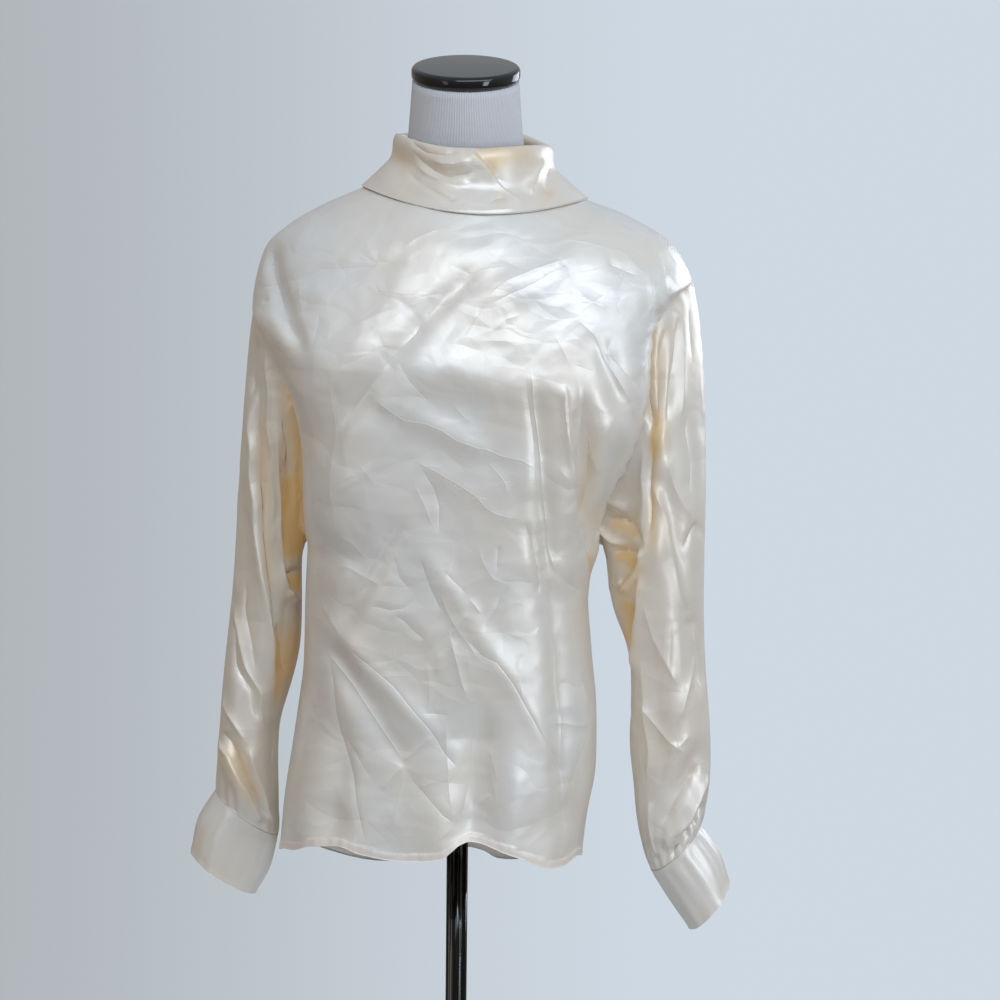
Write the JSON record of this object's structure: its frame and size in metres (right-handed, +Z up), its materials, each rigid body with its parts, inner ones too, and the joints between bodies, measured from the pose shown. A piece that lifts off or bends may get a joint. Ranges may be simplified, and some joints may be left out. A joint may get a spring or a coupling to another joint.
{
  "type": "silk blouse on a dress form",
  "caption": "Loose long-sleeved satin silk blouse with a bias turn-over collar and wide cuffs, on a limbless dress form with a neck cap, a pole and a round base.",
  "frame": {"origin": "centre of the round base's underside, on the floor", "axes": "+Z up along the pole, the blouse's front towards -Y, the wearer's left towards +X"},
  "size_m": [0.5582, 0.32, 1.5105],
  "materials": {
    "silk": "satin weave, glossy",
    "jersey": "matt ribbed jersey",
    "black_gloss": "high gloss",
    "chrome": "polished"
  },
  "bodies": {
    "root": {"front": "silk", "back": "silk", "sleeve_left": "silk", "sleeve_right": "silk", "cuff_left": "silk", "cuff_right": "silk", "collar": "silk", "torso": "jersey", "neck_cap": "black_gloss", "pole": "chrome", "base": "chrome"}
  },
  "joints": []
}
